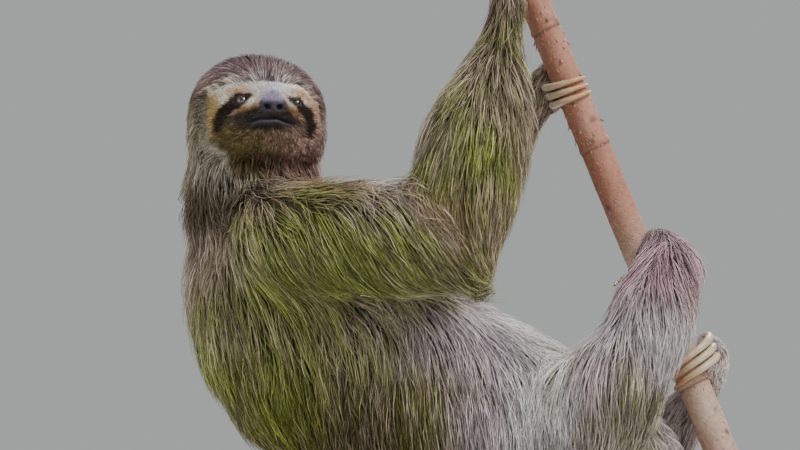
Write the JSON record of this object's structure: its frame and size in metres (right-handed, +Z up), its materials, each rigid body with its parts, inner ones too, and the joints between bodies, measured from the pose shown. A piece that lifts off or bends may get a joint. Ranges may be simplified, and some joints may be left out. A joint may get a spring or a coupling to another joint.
{
  "type": "three-toed sloth, still display model",
  "caption": "Life-size brown-throated three-toed sloth hanging half reclined from a short cut branch, on a plain display stand.",
  "frame": {"origin": "middle of the base's underside", "axes": "+Z up; the animal's right side and its face look along -Y; its head is towards -X"},
  "size_m": [0.4329, 0.25, 0.5395],
  "materials": {
    "coat": "matt",
    "face": "matt",
    "nose": "satin",
    "claw": "satin",
    "eye": "gloss",
    "bark": "matt",
    "plinth": "satin",
    "rod": "satin"
  },
  "bodies": {
    "root": {"stand_rod_body": "rod", "stand_rod_perch": "rod", "stand_base": "plinth", "perch": "bark", "eye_right": "eye", "eye_left": "eye", "nose": "nose", "claw_hand_right_1": "claw", "claw_hand_right_2": "claw", "claw_hand_right_3": "claw", "claw_hand_left_1": "claw", "claw_hand_left_2": "claw", "claw_hand_left_3": "claw", "claw_foot_right_1": "claw", "claw_foot_right_2": "claw", "claw_foot_right_3": "claw", "claw_foot_left_1": "claw", "claw_foot_left_2": "claw", "claw_foot_left_3": "claw", "head": "face", "hand_right": "coat", "hand_left": "coat", "foot_right": "coat", "foot_left": "coat", "forearm_right": "coat", "forearm_left": "coat", "elbow_right": "coat", "shank_right": "coat", "shank_left": "coat", "upper_arm_right": "coat", "upper_arm_left": "coat", "thigh_right": "coat", "thigh_left": "coat", "tail": "coat", "neck": "coat", "chest": "coat", "belly": "coat", "rump": "coat"}
  },
  "joints": []
}
